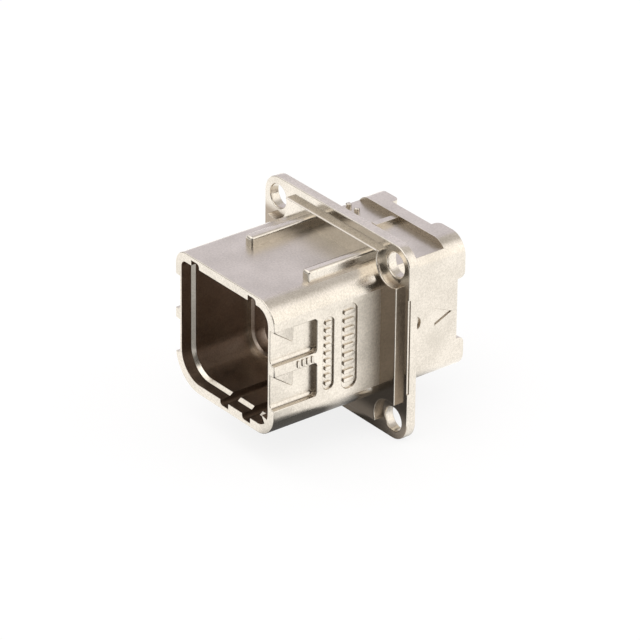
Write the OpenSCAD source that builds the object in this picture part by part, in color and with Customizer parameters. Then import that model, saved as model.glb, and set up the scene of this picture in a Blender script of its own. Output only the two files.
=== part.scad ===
// Rectangular connector receptacle: one cast and plated shell with a four-hole mounting flange.
// X runs across the shell, Y from the mouth (-Y) to the rear (+Y), Z up.
// The origin is the centre of the flange's rear face, which seats on the panel.

/* [Flange] */
// Width of the mounting flange
flange_w = 28; // [27:0.5:36]
// Height of the mounting flange
flange_h = 26; // [25:0.5:34]
// Thickness of the flange plate
flange_t = 1.4; // [1:0.1:3]
// Corner radius of the flange
flange_corner_r = 2.7; // [1.5:0.1:4]
// Diameter of each fixing hole
hole_d = 3.2; // [2.2:0.1:3.6]
// Distance of each fixing hole's centre from the two nearest flange edges
hole_inset = 2.6; // [2.4:0.1:3]
// Distance of the raised pad from the flange edge
pad_margin = 1.5; // [1:0.1:2]
// Height of the raised pad on the front of the flange
pad_t = 0.8; // [0.4:0.1:1.5]
// Radius of the screw-head clearance cut from each corner of the pad
scallop_r = 2.7; // [2.4:0.1:3]
// Length of the trimmed gate mark on the flange's right edge
gate_len = 12.6; // [6:0.2:16]
// Width of the gate mark, across the flange's thickness
gate_w = 0.3; // [0.2:0.05:0.6]
// Depth of the gate mark
gate_depth = 0.15; // [0.1:0.05:0.3]

/* [Front shell] */
// Outside width of the front shell
shell_w = 19.4; // [18.5:0.1:21]
// Outside height of the front shell
shell_h = 18; // [17:0.1:19]
// Height of the shell's centre above the flange's centre
shell_rise = 0.3; // [0:0.1:0.6]
// Reach of the mouth in front of the flange plate
shell_len = 16.75; // [15:0.25:24]
// Wall thickness at the mouth
shell_wall = 1.2; // [1:0.1:1.4]
// Radius of the top left corner
top_left_r = 2; // [1.8:0.1:3]
// Radius of the two right-hand corners
right_r = 3.2; // [2.2:0.1:4]
// Radius of the bottom left corner, which sets the way round that a plug goes in
polar_r = 4.8; // [3.4:0.1:6]

/* [Bore] */
// Depth of the seal bevel behind the mouth
seal_depth = 1.45; // [1:0.05:2.5]
// Width of the seal bevel, across the bore
seal_w = 0.35; // [0.2:0.05:0.45]
// Length of the seal bevel, along the bore
seal_len = 0.45; // [0.3:0.05:0.8]
// Depth of the inner shoulder behind the mouth
shoulder_depth = 9.75; // [8:0.25:11]
// Width of the inner shoulder
shoulder_w = 1; // [0.8:0.1:1.6]
// Thickness of the inner shoulder
shoulder_t = 1.8; // [1.2:0.1:3]
// Bevel on the front edge of the inner shoulder
shoulder_bevel = 0.3; // [0.1:0.05:0.5]
// Radius of the throat's and the rear bore's small corners
bore_r = 1.2; // [0.6:0.1:2]

/* [Keyways] */
// Width of each keyway
keyway_w = 1.55; // [1.2:0.05:2]
// Depth of each keyway in the mouth's wall
keyway_depth = 0.7; // [0.4:0.05:0.8]
// Radius of the rounded side of each keyway
keyway_r = 0.45; // [0.2:0.05:0.6]
// Centre of the left top keyway
keyway_top_left = -5.8; // [-6.2:0.1:-5]
// Centre of the right top keyway
keyway_top_right = 5.3; // [4.5:0.1:5.6]
// Centre of the left bottom keyway
keyway_bottom_left = 0; // [-1:0.1:0.6]
// Centre of the right bottom keyway
keyway_bottom_right = 4.3; // [3.6:0.1:4.8]
// Reach of the pointed key in the mouth's bottom right corner
point_key_reach = 1; // [0.6:0.1:1.3]
// Width of the pointed key at its root
point_key_w = 1; // [0.6:0.1:1.4]
// Direction of the pointed key's root from the corner's centre, in degrees below level
point_key_angle = 35; // [20:5:70]

/* [Side pockets] */
// Depth of the latch pockets in each side wall
pocket_depth = 0.85; // [0.5:0.05:0.9]
// Length of the latch pockets behind the mouth
pocket_len = 6.4; // [4.5:0.1:6.6]
// Height of each latch pocket
pocket_h = 4.5; // [3.6:0.1:5]
// Height of the bar between the two pockets
bar_h = 1.4; // [1:0.1:2]
// Height of the bar's centre above the shell's centre
bar_rise = 0.3; // [-0.5:0.1:1]
// Corner radius at the closed end of each pocket
pocket_r = 0.5; // [0.2:0.1:1]
// Radius of the fillet along the lower side of each pocket
pocket_fillet_r = 0.5; // [0.2:0.05:0.7]
// Length of the latch ramp in each pocket
ramp_len = 3.5; // [2:0.1:4.2]
// Drop of the latch ramp at its low end
ramp_drop = 2.6; // [1.5:0.1:3.2]

/* [Marking panels] */
// Depth of the two sunken panels on the right wall
panel_depth = 0.25; // [0.1:0.05:0.4]
// Width of the narrow panel
narrow_panel_w = 1.6; // [1.2:0.1:2]
// Length of the narrow panel
narrow_panel_len = 9.7; // [6:0.1:10]
// Width of the wide panel
wide_panel_w = 2.3; // [1.6:0.1:2.6]
// Length of the wide panel
wide_panel_len = 11.4; // [7:0.1:11.6]
// Distance from the mouth to the middle of the narrow panel
narrow_panel_at = 8.15; // [7.9:0.05:8.5]
// Distance from the mouth to the middle of the wide panel
wide_panel_at = 11.3; // [10.9:0.1:12]
// Plain raised strokes in each panel
stroke_count = 9; // [4:1:10]
// Border of bare floor around the strokes
stroke_border = 0.32; // [0.2:0.02:0.5]
// Plain raised strokes on the bar between the pockets
tally_count = 4; // [2:1:5]
// Height of those strokes above the wall
tally_rise = 0.15; // [0.1:0.05:0.3]

/* [Top ribs] */
// Width of the two ribs on top of the front shell
rib_w = 1.35; // [0.8:0.05:2]
// Height of the ribs
rib_h = 1.35; // [0.6:0.05:1.5]
// Length of the ribs in front of the flange's pad
rib_len = 8.9; // [4:0.1:12]
// Centre of the left rib
rib_left = -4.7; // [-6:0.1:-3]
// Centre of the right rib
rib_right = 6.4; // [4:0.1:6.4]

/* [Rear body] */
// Outside width of the rear body
rear_w = 17.3; // [16.4:0.1:18]
// Outside height of the rear body
rear_h = 17.9; // [17:0.1:18.4]
// Height of the rear body's centre above the flange's centre
rear_rise = 0.05; // [-0.2:0.05:0.4]
// Length of the rear body behind the flange, up to the notched edge
rear_len = 10.6; // [9.5:0.1:16]
// Length of the four corner ears beyond the notched edge
ear_len = 1.1; // [0.5:0.1:2]
// Width of the top and bottom notches
notch_w = 7.5; // [4:0.1:8]
// Centre of the top and bottom notches
notch_at = -0.3; // [-1:0.1:1]
// Height of the side notches
notch_h = 8.1; // [5:0.1:9]
// Radius at the tip of each ear
ear_r = 0.8; // [0.2:0.1:1]
// Radius of the rear body's left-hand corners
rear_left_r = 2.1; // [1:0.1:2.5]
// Radius of the rear body's top right corner
rear_right_r = 2.6; // [2:0.1:3.6]
// Radius of the rear body's bottom right corner
rear_foot_r = 2.2; // [1.8:0.1:3]
// Height of the side notches, arrow and dimple below the rear body's centre
side_drop = 0.45; // [0:0.05:0.8]
// Wall thickness at the sides and bottom of the rear body
rear_wall = 1.2; // [0.9:0.1:1.5]
// Depth of the flat deck on top, below the rear body's top
deck_depth = 0.9; // [0.6:0.1:1.2]
// Wall thickness under the deck
deck_wall = 1.1; // [0.8:0.1:1.5]
// Length of the raised rear band behind the deck, up to the notched edge
band_len = 1.85; // [1.4:0.05:3.5]
// Width of the stop rib on the deck
stop_w = 0.9; // [0.6:0.1:2]
// Height of the stop rib above the deck
stop_h = 0.6; // [0.3:0.1:0.6]
// Length of the stop rib in front of the band
stop_len = 3.3; // [1:0.1:5]
// Centre of the stop rib
stop_at = -1.3; // [-3:0.1:3]
// Diameter of the two pips on the deck
pip_d = 0.7; // [0.4:0.1:1]
// Height of the pips
pip_h = 0.6; // [0.3:0.1:0.9]
// Distance from the deck's left edge to the first pip
pip_first = 0.8; // [0.6:0.1:1.5]
// Distance from pip to pip
pip_pitch = 1.6; // [1.1:0.1:2.5]
// Distance of the pips in front of the band
pip_gap = 2.3; // [1:0.1:4]

/* [Rear marks] */
// Length of the sunken arrow on the right wall
arrow_len = 2.6; // [1.5:0.1:3.5]
// Width of the arrow's base
arrow_w = 2.3; // [1:0.1:3]
// Depth of the arrow
arrow_depth = 0.2; // [0.1:0.05:0.4]
// Distance from the arrow's point to the notched edge
arrow_gap = 0.9; // [0.4:0.1:2]
// Diameter of the round dimple on the right wall
dimple_d = 1.8; // [1:0.1:2.4]
// Depth of the dimple
dimple_depth = 0.3; // [0.15:0.05:0.6]
// Distance from the arrow's base to the middle of the dimple
dimple_gap = 3.1; // [1.6:0.1:4]

/* [Hidden] */
$fn = 96;

// Overrun of a cut past the face that it opens, and sink of an added piece into its wall
over = 0.5;
sink = 0.2;

// Planes along the axis
plate_face = -flange_t;
pad_face = plate_face - pad_t;
mouth = plate_face - shell_len;
seal_face = mouth + seal_depth;
shoulder_face = mouth + shoulder_depth;
shoulder_back = shoulder_face + shoulder_t;
pocket_end = mouth + pocket_len;
rear_end = rear_len + ear_len;
band_face = rear_len - band_len;

// Sections of the front shell's inside, from the mouth inwards
mouth_w = shell_w - 2 * shell_wall;
mouth_h = shell_h - 2 * shell_wall;
cavity_w = mouth_w - 2 * seal_w;
cavity_h = mouth_h - 2 * seal_w;
throat_w = cavity_w - 2 * shoulder_w;
throat_h = cavity_h - 2 * shoulder_w;

// Corners of a section, in order: top left, top right, bottom right, bottom left
corner_sides = [[-1, 1], [1, 1], [1, -1], [-1, -1]];
corner_turns = [180, 270, 0, 90];

// Radii of the front shell's sections at those corners
shell_radii = [top_left_r, right_r, right_r, polar_r];
mouth_radii = [for (r = shell_radii) r - shell_wall];
cavity_radii = [for (r = mouth_radii) r - seal_w];
throat_radii = [bore_r, bore_r, bore_r, cavity_radii[3] - shoulder_w];

// Section of the rear body's inside
rear_top = rear_rise + rear_h / 2;
rear_floor = rear_rise - rear_h / 2 + rear_wall;
deck = rear_top - deck_depth;
rear_bore_w = rear_w - 2 * rear_wall;
rear_bore_h = deck - deck_wall - rear_floor;
rear_bore_rise = rear_floor + rear_bore_h / 2;
rear_bore_r = rear_foot_r - rear_wall;

// Fixing holes and pad
hole_x = flange_w / 2 - hole_inset;
hole_z = flange_h / 2 - hole_inset;
pad_w = flange_w - 2 * pad_margin;
pad_h = flange_h - 2 * pad_margin;

// Side walls of the front shell
wall_x = shell_w / 2;
floor_x = wall_x - pocket_depth;
bar_z = shell_rise + bar_rise;
pocket_tops = [bar_z + bar_h / 2 + pocket_h, bar_z - bar_h / 2];

// Top of the front shell
shell_top = shell_rise + shell_h / 2;

// Right wall of the rear body
rear_x = rear_w / 2;
side_z = rear_rise - side_drop;
arrow_tip = rear_len - arrow_gap;
arrow_base = arrow_tip - arrow_len;

// Extrudes an outline, drawn in X and Z, along Y
module along_y(from, to) {
    translate([0, to, 0]) rotate([90, 0, 0]) linear_extrude(height = to - from) children();
}

// Extrudes an outline, drawn in Y and Z, along X
module along_x(from, to) {
    translate([from, 0, 0]) rotate([90, 0, 90]) linear_extrude(height = to - from) children();
}

// Extrudes an outline, drawn in X and Y, along Z
module along_z(from, to) {
    translate([0, 0, from]) linear_extrude(height = to - from) children();
}

// Rectangle with its own radius at each corner
module outline(w, h, radii) {
    difference() {
        square([w, h], center = true);
        for (i = [0 : 3])
            translate([corner_sides[i][0] * (w / 2 - radii[i]), corner_sides[i][1] * (h / 2 - radii[i])])
                scale(corner_sides[i]) corner_waste(radii[i]);
    }
}

// What rounding a corner takes off, beyond a circle about the origin
module corner_waste(r) {
    difference() {
        square(r + over);
        circle(r);
    }
}

// Rectangle with the same radius at every corner
module rounded(w, h, r) {
    outline(w, h, [r, r, r, r]);
}

// Bore from the mouth that narrows evenly from one depth on, its corners turned about fixed centres.
// It narrows on past the bevel's length, to end inside the bore behind it
module bevelled_bore(w, h, radii, bevel_from, bevel_w, bevel_len) {
    front = mouth - over;
    back = bevel_from + bevel_len + sink;
    loss = bevel_w * (bevel_len + sink) / bevel_len;
    x = [for (i = [0 : 3]) corner_sides[i][0] * (w / 2 - radii[i])];
    z = [for (i = [0 : 3]) corner_sides[i][1] * (h / 2 - radii[i])];
    for (i = [0 : 3])
        translate([x[i], 0, z[i]]) rotate([-90, corner_turns[i], 0]) rotate_extrude(angle = 90)
            bevel_profile(radii[i], 0, front, bevel_from, back, loss);
    along_z(z[3], z[0]) mirror([1, 0]) bevel_profile(w / 2, -sink, front, bevel_from, back, loss);
    along_z(z[2], z[1]) bevel_profile(w / 2, -sink, front, bevel_from, back, loss);
    along_x(x[0], x[1]) mirror([1, -1]) bevel_profile(h / 2, -sink, front, bevel_from, back, loss);
    along_x(x[3], x[2]) rotate(-90) bevel_profile(h / 2, -sink, front, bevel_from, back, loss);
}

// Half section of a bevelled bore, its axis along Y
module bevel_profile(half, inner, front, bevel_from, back, loss) {
    polygon([[inner, front], [half, front], [half, bevel_from], [half - loss, back], [inner, back]]);
}

module flange() {
    along_y(plate_face, 0) rounded(flange_w, flange_h, flange_corner_r);
    along_y(pad_face, 0) difference() {
        square([pad_w, pad_h], center = true);
        for (x = [-hole_x, hole_x], z = [-hole_z, hole_z]) translate([x, z]) circle(scallop_r);
    }
}

module fixing_holes() {
    for (x = [-hole_x, hole_x], z = [-hole_z, hole_z])
        translate([x, over, z]) rotate([90, 0, 0]) cylinder(d = hole_d, h = flange_t + 2 * over);
}

// Fine step along the front of the flange's right edge
module gate_mark() {
    translate([flange_w / 2 - gate_depth, plate_face - over, -gate_len / 2 + shell_rise])
        cube([gate_depth + over, gate_w + over, gate_len]);
}

module front_outline() {
    translate([0, shell_rise]) outline(shell_w, shell_h, shell_radii);
}

module top_ribs() {
    for (x = [rib_left, rib_right])
        translate([x - rib_w / 2, pad_face - rib_len, shell_top - shell_wall / 2])
            cube([rib_w, rib_len + pad_t / 2, rib_h + shell_wall / 2]);
}

// Mouth, front cavity behind the seal bevel, throat in the shoulder and rear bore
module bore() {
    translate([0, 0, shell_rise]) {
        bevelled_bore(mouth_w, mouth_h, mouth_radii, seal_face, seal_w, seal_len);
        along_y(mouth - over, shoulder_face) outline(cavity_w, cavity_h, cavity_radii);
        bevelled_bore(throat_w + 2 * shoulder_bevel, throat_h + 2 * shoulder_bevel,
                      [for (r = throat_radii) r + shoulder_bevel], shoulder_face, shoulder_bevel, shoulder_bevel);
        along_y(mouth - over, shoulder_back + over) outline(throat_w, throat_h, throat_radii);
    }
    along_y(shoulder_back, rear_end + over) translate([0, rear_bore_rise])
        outline(rear_bore_w, rear_bore_h, [bore_r, bore_r, rear_bore_r, bore_r]);
}

// Groove outline that opens towards the bore, with one side rounded at its root
module keyway_outline() {
    depth = keyway_depth + seal_w;
    translate([0, -depth]) difference() {
        translate([-keyway_w / 2, 0]) square([keyway_w, depth + keyway_depth]);
        translate([keyway_w / 2 - keyway_r, depth + keyway_depth - keyway_r]) corner_waste(keyway_r);
    }
}

module keyways() {
    along_y(mouth - over, shoulder_face) {
        for (x = [keyway_top_left, keyway_top_right])
            translate([x, shell_rise + mouth_h / 2]) keyway_outline();
        for (x = [keyway_bottom_left, keyway_bottom_right])
            translate([x, shell_rise - mouth_h / 2]) rotate(180) keyway_outline();
    }
}

// Pointed key in the mouth's bottom right corner
module point_key() {
    r = right_r - shell_wall;
    along_y(mouth, seal_face + seal_len + sink)
        translate([mouth_w / 2 - r, shell_rise - mouth_h / 2 + r]) rotate(-point_key_angle)
            polygon([[r - point_key_reach, 0], [r + sink, point_key_w / 2], [r + sink, -point_key_w / 2]]);
}

// One latch pocket in the right wall, its upper side at height top
module pocket(top) {
    reach = pocket_len + over;
    difference() {
        along_x(floor_x, wall_x + over)
            translate([mouth - over + reach / 2, top - pocket_h / 2])
                outline(reach, pocket_h, [over / 2, pocket_r, pocket_r, over / 2]);
        translate([floor_x, 0, top - pocket_h]) along_y(mouth - 2 * over, pocket_end + over) pocket_fillet();
        ramp(top);
    }
}

// What a concave fillet leaves in the angle of two faces
module pocket_fillet() {
    difference() {
        translate([-sink, -sink]) square(pocket_fillet_r + sink);
        translate([pocket_fillet_r, pocket_fillet_r]) circle(pocket_fillet_r);
    }
}

// Latch ramp that falls from the wall's face at the mouth to the pocket's floor
module ramp(top) {
    low = mouth + ramp_len;
    intersection() {
        along_x(floor_x - sink, wall_x)
            polygon([[mouth, top + sink], [mouth, top], [low, top - ramp_drop], [low, top + sink]]);
        along_z(top - ramp_drop - sink, top + sink)
            polygon([[floor_x - sink, mouth], [wall_x, mouth], [floor_x, low], [floor_x - sink, low]]);
    }
}

module side_pockets() {
    for (side = [0, 1], top = pocket_tops) mirror([side, 0, 0]) pocket(top);
}

// Sunken panel with round ends, less a row of plain strokes that stand up to the wall's face
module marking_panel(at, w, len) {
    stroke_len = w - 2 * stroke_border;
    row = len - w;
    pitch = row / (stroke_count - 1);
    along_x(wall_x - panel_depth, wall_x + over) translate([mouth + at, bar_z]) difference() {
        rounded(w, len, w / 2);
        for (i = [0 : stroke_count - 1])
            translate([0, i * pitch - row / 2]) rounded(stroke_len, pitch / 2, pitch / 5);
    }
}

module marking_panels() {
    marking_panel(narrow_panel_at, narrow_panel_w, narrow_panel_len);
    marking_panel(wide_panel_at, wide_panel_w, wide_panel_len);
}

// Row of short strokes at the rear end of the bar between the pockets
module tally() {
    pitch = bar_h / 2;
    along_x(wall_x - sink, wall_x + tally_rise) for (i = [1 : tally_count])
        translate([pocket_end - i * pitch, bar_z]) square([pitch / 2, bar_h * 2 / 3], center = true);
}

module rear_outline() {
    translate([0, rear_rise]) outline(rear_w, rear_h, [rear_left_r, rear_right_r, rear_foot_r, rear_left_r]);
}

// Notch outline across X, open towards +Y from the notched edge, with a rounded mouth
module notch_outline(w) {
    translate([-w / 2, rear_len]) square([w, ear_len + over]);
    for (side = [-1, 1])
        translate([side * (w / 2 + ear_r), rear_end - ear_r]) scale([-side, 1]) corner_waste(ear_r);
}

module notches() {
    along_z(rear_rise - rear_h, rear_rise + rear_h) translate([notch_at, 0]) notch_outline(notch_w);
    along_x(-rear_w, rear_w) translate([0, side_z]) rotate(90) mirror([0, 1]) notch_outline(notch_h);
}

// Cut that leaves the flat deck, with its stop rib and pips standing on it
module deck_cut() {
    left = -sqrt(pow(rear_left_r, 2) - pow(max(rear_left_r - deck_depth, 0), 2)) - rear_x + rear_left_r;
    difference() {
        translate([-rear_w, 0, deck]) cube([2 * rear_w, band_face, deck_depth + over]);
        translate([stop_at - stop_w / 2, band_face - stop_len, deck - sink])
            cube([stop_w, stop_len + over, stop_h + sink]);
        for (i = [0, 1])
            translate([left + pip_first + i * pip_pitch, band_face - pip_gap, deck - sink])
                cylinder(d = pip_d, h = pip_h + sink);
    }
}

module arrow() {
    along_x(rear_x - arrow_depth, rear_x + over) translate([0, side_z])
        polygon([[arrow_base, -arrow_w / 2], [arrow_tip, 0], [arrow_base, arrow_w / 2]]);
}

module dimple() {
    translate([rear_x - dimple_depth, arrow_base - dimple_gap, side_z]) rotate([0, 90, 0])
        cylinder(d = dimple_d, h = dimple_depth + over);
}

module shell() {
    color([0.78, 0.76, 0.71]) {
        difference() {
            union() {
                flange();
                along_y(mouth, 0) front_outline();
                along_y(plate_face, rear_end) rear_outline();
                top_ribs();
            }
            bore();
            keyways();
            fixing_holes();
            gate_mark();
            side_pockets();
            marking_panels();
            notches();
            deck_cut();
            arrow();
            dimple();
        }
        point_key();
        tally();
    }
}

shell();
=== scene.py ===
import bmesh
import bpy
import math
from mathutils import Matrix, Vector


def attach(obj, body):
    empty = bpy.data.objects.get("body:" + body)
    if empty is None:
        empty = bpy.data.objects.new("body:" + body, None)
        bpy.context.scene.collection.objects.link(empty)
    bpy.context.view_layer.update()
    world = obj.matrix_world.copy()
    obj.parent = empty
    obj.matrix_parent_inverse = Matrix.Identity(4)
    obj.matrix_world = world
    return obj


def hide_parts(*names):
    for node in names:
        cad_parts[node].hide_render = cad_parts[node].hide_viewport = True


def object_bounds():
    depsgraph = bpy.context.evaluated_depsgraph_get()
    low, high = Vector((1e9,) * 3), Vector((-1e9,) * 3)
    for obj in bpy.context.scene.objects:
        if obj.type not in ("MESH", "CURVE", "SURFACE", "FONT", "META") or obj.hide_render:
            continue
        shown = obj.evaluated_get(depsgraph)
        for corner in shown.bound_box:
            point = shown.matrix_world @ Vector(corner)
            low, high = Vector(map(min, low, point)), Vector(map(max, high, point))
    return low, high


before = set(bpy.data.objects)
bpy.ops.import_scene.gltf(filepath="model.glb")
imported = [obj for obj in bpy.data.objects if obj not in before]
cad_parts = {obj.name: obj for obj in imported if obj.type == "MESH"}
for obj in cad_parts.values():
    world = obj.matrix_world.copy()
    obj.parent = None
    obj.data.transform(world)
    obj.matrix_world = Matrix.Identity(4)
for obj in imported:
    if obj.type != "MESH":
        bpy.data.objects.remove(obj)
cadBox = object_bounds()
scene = bpy.context.scene
scene.view_settings.view_transform = "Standard"
mm = 0.001
nodeGap = 200       # between neighbours in a node tree's drawing
upward = (0, 0, 1)
rearward = (0, 1, 0)
forward = (0, -1, 0)
print("frame loaded")


# small helpers for node trees
def addNode(tree, kind, place, **settings):
    node = tree.nodes.new(kind)
    node.location = (place[0] * nodeGap, place[1] * nodeGap)
    for name, value in settings.items():
        setattr(node, name, value)
    return node


def link(tree, source, target):
    tree.links.new(source, target)


# an input takes either a fixed value or another node's output
def feed(tree, target, value):
    if isinstance(value, bpy.types.NodeSocket):
        link(tree, value, target)
    else:
        target.default_value = value


def mixColour(tree, place, factor, first, second):
    node = addNode(tree, "ShaderNodeMix", place, data_type="RGBA")
    ends = [socket for socket in node.inputs if socket.type == "RGBA"]
    link(tree, factor, node.inputs["Factor"])
    feed(tree, ends[0], first)
    feed(tree, ends[1], second)
    return [socket for socket in node.outputs if socket.type == "RGBA"][0]


def mixShader(tree, place, factor, first, second):
    node = addNode(tree, "ShaderNodeMixShader", place)
    for target, source in zip(node.inputs, (factor, first, second)):
        link(tree, source, target)
    return node.outputs["Shader"]


def mathNode(tree, place, operation, first, second):
    node = addNode(tree, "ShaderNodeMath", place, operation=operation)
    feed(tree, node.inputs[0], first)
    feed(tree, node.inputs[1], second)
    return node.outputs["Value"]


def rangeNode(tree, place, value, span, target, kind="LINEAR"):
    node = addNode(tree, "ShaderNodeMapRange", place, interpolation_type=kind)
    link(tree, value, node.inputs["Value"])
    node.inputs["From Min"].default_value = span[0]
    node.inputs["From Max"].default_value = span[1]
    node.inputs["To Min"].default_value = target[0]
    node.inputs["To Max"].default_value = target[1]
    return node.outputs["Result"]


# how far a direction or place lies along an axis
def along(tree, place, vector, axis):
    node = addNode(tree, "ShaderNodeVectorMath", place, operation="DOT_PRODUCT")
    link(tree, vector, node.inputs[0])
    node.inputs[1].default_value = Vector(axis).normalized()
    return node.outputs["Value"]


def emission(tree, place, strength):
    node = addNode(tree, "ShaderNodeEmission", place)
    feed(tree, node.inputs["Strength"], strength)
    return node.outputs["Emission"]


def background(tree, place, colour, strength):
    node = addNode(tree, "ShaderNodeBackground", place)
    feed(tree, node.inputs["Color"], colour)
    node.inputs["Strength"].default_value = strength
    return node.outputs["Background"]


# camera: fitted to the photo's edges, looking at the shell from its right front
cameraView = {
    "azimuth": 51.69,       # degrees from straight in front, towards the marked wall
    "elevation": 27.94,
    "roll": 0.67,
    "distance": 603.39,     # mm
    "aimRight": -1.82,      # mm, how far the aim lies from the pivot, across the picture
    "aimUp": -1.57,
    "pivotY": -1.4,         # mm, front of the flange plate
    "lens": 281.25,
    "sensor": 36,
    "clip": (0.01, 20),     # m
}


def makeCamera(spec):
    azimuth, elevation, roll = (math.radians(spec[name]) for name in ("azimuth", "elevation", "roll"))
    reach = math.cos(elevation)
    back = Vector((math.sin(azimuth) * reach, -math.cos(azimuth) * reach, math.sin(elevation)))
    level = Vector((math.cos(azimuth), math.sin(azimuth), 0))
    rise = back.cross(level)
    right = level * math.cos(roll) + rise * math.sin(roll)
    up = rise * math.cos(roll) - level * math.sin(roll)
    aim = right * spec["aimRight"] + up * spec["aimUp"] + Vector((0, spec["pivotY"], 0))
    data = bpy.data.cameras.new("photoCamera")
    data.lens = spec["lens"]
    data.sensor_width = spec["sensor"]
    data.clip_start, data.clip_end = spec["clip"]
    camera = bpy.data.objects.new("photoCamera", data)
    turn = Matrix((right, up, back)).transposed().to_4x4()
    camera.matrix_world = Matrix.Translation((aim + back * spec["distance"]) * mm) @ turn
    scene.collection.objects.link(camera)
    scene.camera = camera


makeCamera(cameraView)
print("camera set")


# what the plates share: a fine cast grain under broad, faint clouds
castSkin = {
    "cloudScale": 220,      # per metre
    "cloudDetail": 5,
    "grainScale": 4200,
    "grainDetail": 3,
    "pitScale": 1700,
    "pitDetail": 4,
    "tintSpan": (0.39, 0.61),       # mean of clouds and grain, from dull to bright
    "pitSpan": (0.3, 0.7),          # from the smoothest to the roughest
    "grainBump": 0.05,
    "grainDepth": 0.00002,          # m
}
# satin nickel, bright on the outside
nickel = {
    **castSkin,
    "name": "nickelPlate",
    "bright": (0.73, 0.672, 0.59, 1),
    "dull": (0.59, 0.542, 0.47, 1),
    "rough": (0.17, 0.25),
}
# flat side walls, rougher, and most of all next to the flange; their colour is painted lighter than
# the nickel's, as painted light
litWallPlate = {
    **castSkin,
    "name": "litWallPlate",
    "bright": (0.80, 0.738, 0.645, 1),
    "dull": (0.61, 0.56, 0.485, 1),
    "rough": (0.26, 0.35),
    "corner": (-0.0075, -0.0045),       # m along Y, where the wall grows rougher
    "cornerRough": (0, 0.19),
}
# painted shade on the small walls of marks and pockets that face the mouth, and on the band's front
paintedShadePlate = {
    **castSkin,
    "name": "paintedShadePlate",
    "bright": (0.40, 0.345, 0.28, 1),
    "dull": (0.33, 0.28, 0.225, 1),
    "rough": (0.24, 0.32),
    "cloudScale": 900,
    "grainBump": 0.16,
}
# top of the shell and rear deck, rougher; their colour is painted a little darker than the nickel's,
# as painted shade
shadedTopPlate = {
    **castSkin,
    "name": "shadedTopPlate",
    "bright": (0.70, 0.645, 0.575, 1),
    "dull": (0.56, 0.515, 0.455, 1),
    "rough": (0.28, 0.37),
}
# front of the flange, smoother, with painted shade beside and below the shell
flangePlate = {
    **nickel,
    "name": "flangePlate",
    "rough": (0.11, 0.18),
    "paintedShade": (0.33, 0.272, 0.215, 1),
    "paintedShadeTop": (0.0078, 0.0092),       # m, height where the painted shade ends
}
# bore, rougher, and painted dark with the shade inside the cavity
shadedBoreSkin = {
    **castSkin,
    "name": "shadedBoreSkin",
    "bright": (0.48, 0.398, 0.328, 1),
    "dull": (0.35, 0.285, 0.233, 1),
    "rough": (0.29, 0.39),
    "cloudScale": 260,
    "grainScale": 5200,
    "pitScale": 1500,
    "grainBump": 0.16,
    "grainDepth": 0.00003,
}


# from dull to bright with the mean of clouds and grain, and darkened with painted shade up to a height
def plateColour(tree, place, noise, spec):
    added = mathNode(tree, (-5, 2), "ADD", noise["cloud"], noise["grain"])
    mean = mathNode(tree, (-4, 2), "MULTIPLY", added, 0.5)
    tint = addNode(tree, "ShaderNodeValToRGB", (-4, 1))
    shades = (spec["dull"], spec["bright"])
    for element, position, shade in zip(tint.color_ramp.elements, spec["tintSpan"], shades):
        element.position = position
        element.color = shade
    link(tree, mean, tint.inputs["Fac"])
    if "paintedShade" not in spec:
        return tint.outputs["Color"]
    height = along(tree, (-6, 3), place, upward)
    paintedShadeShare = rangeNode(tree, (-5, 3), height, spec["paintedShadeTop"], (1, 0), "SMOOTHSTEP")
    return mixColour(tree, (-3, 2), paintedShadeShare, tint.outputs["Color"], spec["paintedShade"])


# uneven with the pits, and rougher towards the flange where the plate has a corner
def plateRough(tree, place, noise, spec):
    rough = rangeNode(tree, (-4, 0), noise["pit"], spec["pitSpan"], spec["rough"])
    if "corner" not in spec:
        return rough
    back = along(tree, (-5, -2), place, rearward)
    more = rangeNode(tree, (-4, -2), back, spec["corner"], spec["cornerRough"])
    return mathNode(tree, (-3, 0), "ADD", rough, more)


def makePlate(spec):
    material = bpy.data.materials.new(spec["name"])
    material.use_nodes = True
    tree = material.node_tree
    shader = tree.nodes["Principled BSDF"]
    shader.inputs["Metallic"].default_value = 1
    place = addNode(tree, "ShaderNodeTexCoord", (-6, 0)).outputs["Object"]
    noise = {}
    for row, name in enumerate(("cloud", "grain", "pit")):
        texture = addNode(tree, "ShaderNodeTexNoise", (-5, 1 - row))
        texture.inputs["Scale"].default_value = spec[name + "Scale"]
        texture.inputs["Detail"].default_value = spec[name + "Detail"]
        link(tree, place, texture.inputs["Vector"])
        noise[name] = texture.outputs["Fac"]
    link(tree, plateColour(tree, place, noise, spec), shader.inputs["Base Color"])
    link(tree, plateRough(tree, place, noise, spec), shader.inputs["Roughness"])
    bump = addNode(tree, "ShaderNodeBump", (-3, -1))
    bump.inputs["Strength"].default_value = spec["grainBump"]
    bump.inputs["Distance"].default_value = spec["grainDepth"]
    link(tree, noise["grain"], bump.inputs["Height"])
    link(tree, bump.outputs["Normal"], shader.inputs["Normal"])
    return material


plates = (nickel, shadedBoreSkin, paintedShadePlate, litWallPlate, flangePlate, shadedTopPlate)
plateMaterials = [makePlate(plate) for plate in plates]
print("plate mixed")


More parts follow.
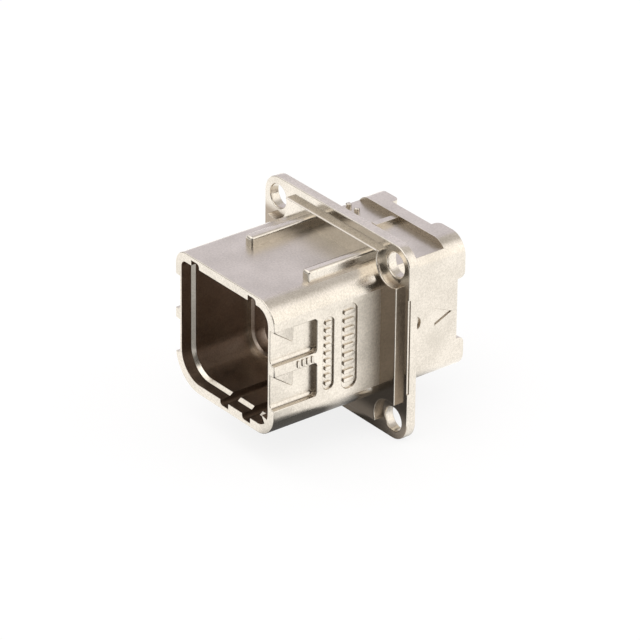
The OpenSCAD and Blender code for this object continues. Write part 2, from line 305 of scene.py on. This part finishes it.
# the casting: the CAD shell with every outward edge rounded as a plated casting's are
shellCasting = {
    "node": "shell",
    "slot": "shell",
    "weldGap": 0.000001,    # m
    "flatAngle": 0.5,       # degrees, faces flatter than this to each other become one
    "edgeAngle": 20,        # degrees, edges sharper than this are rounded
    "edgeRound": 0.14,      # mm
    "ribRound": 0.4,        # mm, on the ribs above the shell's top
    "boreRound": 0.05,      # mm, on the edges of the mouth and the bore
    "pipRound": 0.22,       # mm, on the deck's pips
    "pipEdge": 0.3,         # mm, only their edges are shorter than this
    "roomShare": 0.36,      # share of a narrow face that one edge may take
    "roomSpan": (1e-7, 1),      # m, the least and the most room that counts
    "alongLeast": 1e-12,    # m, edges that reach less than this alongside are passed over
    "runFacing": -0.77,     # cosine, edges that meet straighter than this are one run
    "roundSteps": 3,
    "creaseAngle": 50,      # degrees, outward edges left sharper than this stay creased
    "rampAngle": 4,         # degrees, the same for the slanted edges of the pockets' ramps
    "rampZone": (8.8, -14.5),   # mm, from the pocket floor out and from the mouth back
    "rampAlong": 0.999,     # edges that run closer to Y than this aren't slanted
    "rampRise": 0.01,       # mm, nor are those that rise less than this
    "frontBore": (8.52, 0.3, 8.53),     # mm, half width, middle height and half height
    "innerBore": (8.2, 0.3, 7.5),
    "rearBore": (7.5, -0.35, 7.4),
    "boreFacing": 0.3,      # walls along the bore face Y less than this
    "sealEnd": -16.2,       # mm along Y
    "markZone": (8.2, 9.95, 8),     # mm, from the side walls' recesses out, and half height
    "markFacing": -0.3,     # marks' walls that face the mouth more than this get painted shade
    "notchFront": 10.3,     # mm along Y, walls further back aren't marks
    "deckZone": (8, 9.2, 5),    # mm, height of the rear deck and of its band, and the band's front
    "bandLeast": 2,         # mm, narrower faces on the deck get no painted shade
    "ribZone": (8.9, 10, -2.1),     # mm, heights at the ribs' foot and top, and the flange's pad
    "topZone": (7.5, 9.6),      # mm, heights of the rear deck and of the shell's top
    "wallTop": 8,           # mm, half height of the flat side walls
    "wallFacing": 0.97,     # flat walls and tops face their axis more than this
    "frontFacing": -0.9,    # fronts of the flange and the band face the mouth more than this
    "flangeFront": -1.4,    # mm along Y
    "flangeZone": (-2.6, -1),   # mm along Y, from the pad's front to the plate's
}


# corners of a face or ends of an edge, in mm
def placesOf(item):
    return [vert.co / mm for vert in item.verts]


# whether places lie in a bore's outline
def within(places, box):
    return all(abs(p.x) < box[0] and abs(p.z - box[1]) < box[2] for p in places)


# whether places lie on the rear deck, up to the top of its band
def onDeck(places, spec):
    low, high, front = spec["deckZone"]
    return all(low < p.z < high and p.y > front for p in places)


# distance from an edge across one of its faces to the next sharp edge, in metres
def roomAcross(edge, face, sharp, spec):
    a, b = edge.verts[0].co, edge.verts[1].co
    middle = (a + b) / 2
    axis = (b - a).normalized()
    inward = face.normal.cross(b - a).normalized()
    for loop in face.loops:
        if loop.edge == edge and loop.vert == edge.verts[1]:
            inward.negate()
    least, best = spec["roomSpan"]
    for other in face.edges:
        if other == edge:
            continue
        start, end = (vert.co - middle for vert in other.verts)
        first, last = start.dot(axis), end.dot(axis)
        if first * last > 0 or abs(first - last) < spec["alongLeast"]:
            continue
        reach = (start + (end - start) * (first / (first - last))).dot(inward)
        if least < reach < best and other in sharp:
            best = reach
    return best


# how far one outward edge is rounded, in mm
def roundFor(edge, sharp, spec):
    places = placesOf(edge)
    most = spec["edgeRound"]
    if within(places, spec["frontBore"]):
        most = spec["boreRound"]
    if onDeck(places, spec) and (places[1] - places[0]).length < spec["pipEdge"]:
        most = spec["pipRound"]
    low, high, back = spec["ribZone"]
    if all(p.z > low and p.y < back for p in places) and max(p.z for p in places) > high:
        most = spec["ribRound"]
    room = min(roomAcross(edge, face, sharp, spec) for face in edge.link_faces) / mm
    return min(most, room * spec["roomShare"])


# the other rounded edge at one end, where the two run on in nearly one line
def nextEdge(edge, vert, rounds, spec):
    ends = [other for other in vert.link_edges if other in rounds and other != edge]
    if len(ends) != 1:
        return None
    first = (edge.other_vert(vert).co - vert.co).normalized()
    second = (ends[0].other_vert(vert).co - vert.co).normalized()
    return ends[0] if first.dot(second) < spec["runFacing"] else None


# gives every run of edges its smallest rounding, because a change along a run folds its faces
def evenOut(rounds, spec):
    left = set(rounds)
    while left:
        run = [left.pop()]
        for edge in run:
            for vert in edge.verts:
                other = nextEdge(edge, vert, rounds, spec)
                if other in left:
                    left.discard(other)
                    run.append(other)
        least = min(rounds[edge] for edge in run)
        for edge in run:
            rounds[edge] = least


# marks every outward edge with its rounding, as a share of the widest
def weighEdges(work, widest, spec):
    share = work.edges.layers.float.new("bevel_weight_edge")
    limit = math.radians(spec["edgeAngle"])
    sharp = {edge for edge in work.edges if edge.calc_face_angle(0) > limit}
    rounds = {edge: roundFor(edge, sharp, spec) for edge in sharp if edge.is_convex}
    evenOut(rounds, spec)
    for edge, size in rounds.items():
        edge[share] = size / widest


# whether a face lies in the bore, which is painted dark for its shade; the seal bevel stays bright
def inBore(face, spec):
    places = placesOf(face)
    side = abs(face.normal.y) < spec["boreFacing"]
    if max(p.y for p in places) > spec["flangeFront"]:
        return side and within(places, spec["rearBore"])
    if side:
        return within(places, spec["frontBore"])
    return within(places, spec["innerBore"]) and min(p.y for p in places) > spec["sealEnd"]


# whether a face is a wall of a mark, a pocket's end in a side wall or the band's front, which get
# painted shade
def inMark(face, spec):
    places = placesOf(face)
    if onDeck(places, spec):
        width = max(p.x for p in places) - min(p.x for p in places)
        return face.normal.y < spec["frontFacing"] and width > spec["bandLeast"]
    low, high, half = spec["markZone"]
    inside = all(low < abs(p.x) < high and abs(p.z) < half and p.y > spec["sealEnd"] for p in places)
    ahead = max(p.y for p in places) < spec["notchFront"]
    return inside and ahead and face.normal.y < spec["markFacing"]


# which plate a face has
def plateFor(face, spec):
    if inBore(face, spec):
        return shadedBoreSkin
    # mark walls, pockets' ends and the band's front get the painted shade
    if inMark(face, spec):
        return paintedShadePlate
    places = placesOf(face)
    front, back = spec["flangeZone"]
    if face.normal.y < spec["frontFacing"] and all(front < p.y < back for p in places):
        return flangePlate
    low, high = spec["topZone"]
    if face.normal.z > spec["wallFacing"] and all(low < p.z < high for p in places):
        return shadedTopPlate
    onWall = all(p.y < spec["flangeFront"] and abs(p.z) < spec["wallTop"] for p in places)
    return litWallPlate if onWall and abs(face.normal.x) > spec["wallFacing"] else nickel


# the casting's mesh with its edges rounded
def bevelMesh(casting, widest, spec):
    bevel = casting.modifiers.new("edgeRound", "BEVEL")
    bevel.width = widest * mm
    bevel.segments = spec["roundSteps"]
    bevel.limit_method = "WEIGHT"
    bevel.use_clamp_overlap = False
    depsgraph = bpy.context.evaluated_depsgraph_get()
    mesh = bpy.data.meshes.new_from_object(casting.evaluated_get(depsgraph))
    casting.modifiers.clear()
    return mesh


# whether an edge of the rounded casting shows as a crease
def isCrease(edge, spec):
    a, b = placesOf(edge)
    angle = math.degrees(edge.calc_face_angle(0))
    out, front = spec["rampZone"]
    onRamp = min(abs(a.x), abs(b.x)) > out and max(a.y, b.y) < front
    rises = abs(a.z - b.z) > spec["rampRise"]
    if onRamp and rises and abs((b - a).normalized().y) < spec["rampAlong"]:
        return angle > spec["rampAngle"]
    return angle > (spec["creaseAngle"] if edge.is_convex else spec["edgeAngle"])


def creaseMesh(mesh, spec):
    work = bmesh.new()
    work.from_mesh(mesh)
    for edge in work.edges:
        edge.smooth = not isCrease(edge, spec)
    work.to_mesh(mesh)
    work.free()


def makeCasting(spec):
    widest = max(spec["edgeRound"], spec["ribRound"])
    flat = math.radians(spec["flatAngle"])
    work = bmesh.new()
    work.from_mesh(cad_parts[spec["node"]].data)
    bmesh.ops.remove_doubles(work, verts=work.verts, dist=spec["weldGap"])
    bmesh.ops.dissolve_limit(work, angle_limit=flat, verts=work.verts, edges=work.edges)
    weighEdges(work, widest, spec)
    for face in work.faces:
        face.smooth = True
        face.material_index = plates.index(plateFor(face, spec))
    mesh = bpy.data.meshes.new("shellCasting")
    work.to_mesh(mesh)
    work.free()
    for material in plateMaterials:
        mesh.materials.append(material)
    casting = bpy.data.objects.new("shellCasting", mesh)
    scene.collection.objects.link(casting)
    casting.data = bevelMesh(casting, widest, spec)
    creaseMesh(casting.data, spec)
    shade = casting.modifiers.new("flatFaces", "WEIGHTED_NORMAL")
    shade.keep_sharp = True
    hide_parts(spec["node"])
    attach(casting, "root")


makeCasting(shellCasting)
print("casting rounded")


# pale floor; for reflected rays it glows instead, with a painted shadow under the part, a painted dim
# patch in front of it and a painted lighter foot
floorSet = {
    "size": 3,              # m
    "colour": (0.86, 0.85, 0.84, 1),
    "rough": 0.9,
    "cameraGlow": 0.8,      # share of plain white that the camera sees
    "glow": 1.04,
    "shadeReach": 0.018,    # m, how far off a thing still shades the mirrored floor
    "shadeSamples": 8,
    "shadeSpan": (0.22, 0.72),      # how open a place is above, from shaded to light
    "shadeLevel": (0.09, 1.38),
    "dimAim": (0.559, -0.829, 0),   # towards the painted dim part
    "dimSpan": (0.819, 0.899),      # cosines, from its rim to where it is full
    "dimReach": (0.02, 0.04),       # m out in front, where the dim part fades
    "dimLevel": (0.12, 0.68),
    "footReach": (0.005, 0.007),    # m out in front, where a painted lighter foot ends
    "footLevel": (0.38, 0),
}


# how bright a place on the floor is in the metal: a painted glow with painted shade
def mirroredLevel(tree, spec):
    place = addNode(tree, "ShaderNodeTexCoord", (-6, 0)).outputs["Object"]
    under = addNode(tree, "ShaderNodeAmbientOcclusion", (-5, 1), samples=spec["shadeSamples"])
    under.inputs["Distance"].default_value = spec["shadeReach"]
    shaded = rangeNode(tree, (-4, 1), under.outputs["AO"], spec["shadeSpan"], spec["shadeLevel"])
    ahead = along(tree, (-5, -1), place, forward)
    far = rangeNode(tree, (-4, -1), ahead, spec["dimReach"], spec["dimLevel"])
    foot = rangeNode(tree, (-4, -2), ahead, spec["footReach"], spec["footLevel"])
    way = addNode(tree, "ShaderNodeVectorMath", (-5, 0), operation="NORMALIZE")
    link(tree, place, way.inputs[0])
    turned = along(tree, (-4, 0), way.outputs["Vector"], spec["dimAim"])
    inDim = rangeNode(tree, (-3, 0), turned, spec["dimSpan"], (0, 1), "SMOOTHSTEP")
    level = addNode(tree, "ShaderNodeMix", (-2, 0))
    link(tree, inDim, level.inputs["Factor"])
    link(tree, shaded, level.inputs["A"])
    link(tree, mathNode(tree, (-3, -1), "MAXIMUM", far, foot), level.inputs["B"])
    return level.outputs["Result"]


def makeFloor(spec):
    bpy.ops.mesh.primitive_plane_add(size=spec["size"], location=(0, 0, cadBox[0][2]))
    floor = bpy.context.object
    floor.name = "floor"
    material = bpy.data.materials.new("paleFloor")
    material.use_nodes = True
    tree = material.node_tree
    shader = tree.nodes["Principled BSDF"]
    shader.inputs["Base Color"].default_value = spec["colour"]
    shader.inputs["Roughness"].default_value = spec["rough"]
    shader.inputs["Specular IOR Level"].default_value = 0
    ray = addNode(tree, "ShaderNodeLightPath", (-3, 2))
    share = mathNode(tree, (0, 2), "MULTIPLY", ray.outputs["Is Camera Ray"], spec["cameraGlow"])
    white = emission(tree, (0, -1), spec["glow"])
    seen = mixShader(tree, (1, 0), share, shader.outputs["BSDF"], white)
    mirrored = emission(tree, (0, -2), mirroredLevel(tree, spec))
    both = mixShader(tree, (2, 0), ray.outputs["Is Glossy Ray"], seen, mirrored)
    link(tree, both, tree.nodes["Material Output"].inputs["Surface"])
    floor.data.materials.append(material)


# soft studio: a large light above the front, a lighter right side, a plain back and left;
# an aim is a light's direction, and a span the cosines at its rim and where it is full
studio = {
    "page": (1, 1, 1, 1),       # what the camera sees behind the floor
    "pageStrength": 1,
    "strength": 1.25,
    "plain": (0.72, 0.70, 0.765, 1),
    "roof": (0.56, 0.54, 0.525, 1),
    "roofAim": (0.03, 0.55, 0.83),
    "roofSpan": (0.84, 0.98),
    "side": (1.24, 1.22, 1.19, 1),
    "sideAim": (0.82, 0.52, 0.2),
    "sideSpan": (0.53, 1.0),
    "frontLow": (0.26, 0.257, 0.253, 1),
    "frontHigh": (1.52, 1.51, 1.49, 1),
    "frontAim": (0.241, 0.333, 0.911),
    "frontSpan": (-0.2, 0.6),
    "turnAim": rearward,        # from the back's light to the front's
    "turnSpan": (0.3, -0.3),
    "lens": (0.09, 0.085, 0.08, 1),     # the dark gap that the photo was taken through
    "lensAim": (0.933, -0.25, 0.259),
    "lensSpan": (0.868, 0.903),
    "standAim": (0.69, -0.55, 0.47),    # the stand beside it is dark too
    "standSpan": (0.91, 0.96),
}


def makeStudio(spec):
    world = bpy.data.worlds.new("studio")
    scene.world = world
    world.use_nodes = True
    tree = world.node_tree
    tree.nodes.clear()
    way = addNode(tree, "ShaderNodeTexCoord", (-5, 0)).outputs["Generated"]

    # how far a direction lies within one of the lights
    def lobe(row, name, kind="SMOOTHSTEP"):
        near = along(tree, (-4, row), way, spec[name + "Aim"])
        return rangeNode(tree, (-3, row), near, spec[name + "Span"], (0, 1), kind)

    rear = mixColour(tree, (-2, 2), lobe(2, "roof"), spec["plain"], spec["roof"])
    rear = mixColour(tree, (-1, 1), lobe(1, "side"), rear, spec["side"])
    front = mixColour(tree, (-1, -1), lobe(-1, "front", "LINEAR"), spec["frontLow"], spec["frontHigh"])
    around = mixColour(tree, (0, 0), lobe(-2, "turn"), rear, front)
    around = mixColour(tree, (1, 0), lobe(-3, "lens"), around, spec["lens"])
    around = mixColour(tree, (2, 0), lobe(-4, "stand"), around, spec["lens"])
    light = background(tree, (3, 0), around, spec["strength"])
    page = background(tree, (3, -1), spec["page"], spec["pageStrength"])
    ray = addNode(tree, "ShaderNodeLightPath", (3, 1))
    out = addNode(tree, "ShaderNodeOutputWorld", (5, 0))
    shown = mixShader(tree, (4, 0), ray.outputs["Is Camera Ray"], light, page)
    link(tree, shown, out.inputs["Surface"])


makeFloor(floorSet)
makeStudio(studio)
print("studio lit")
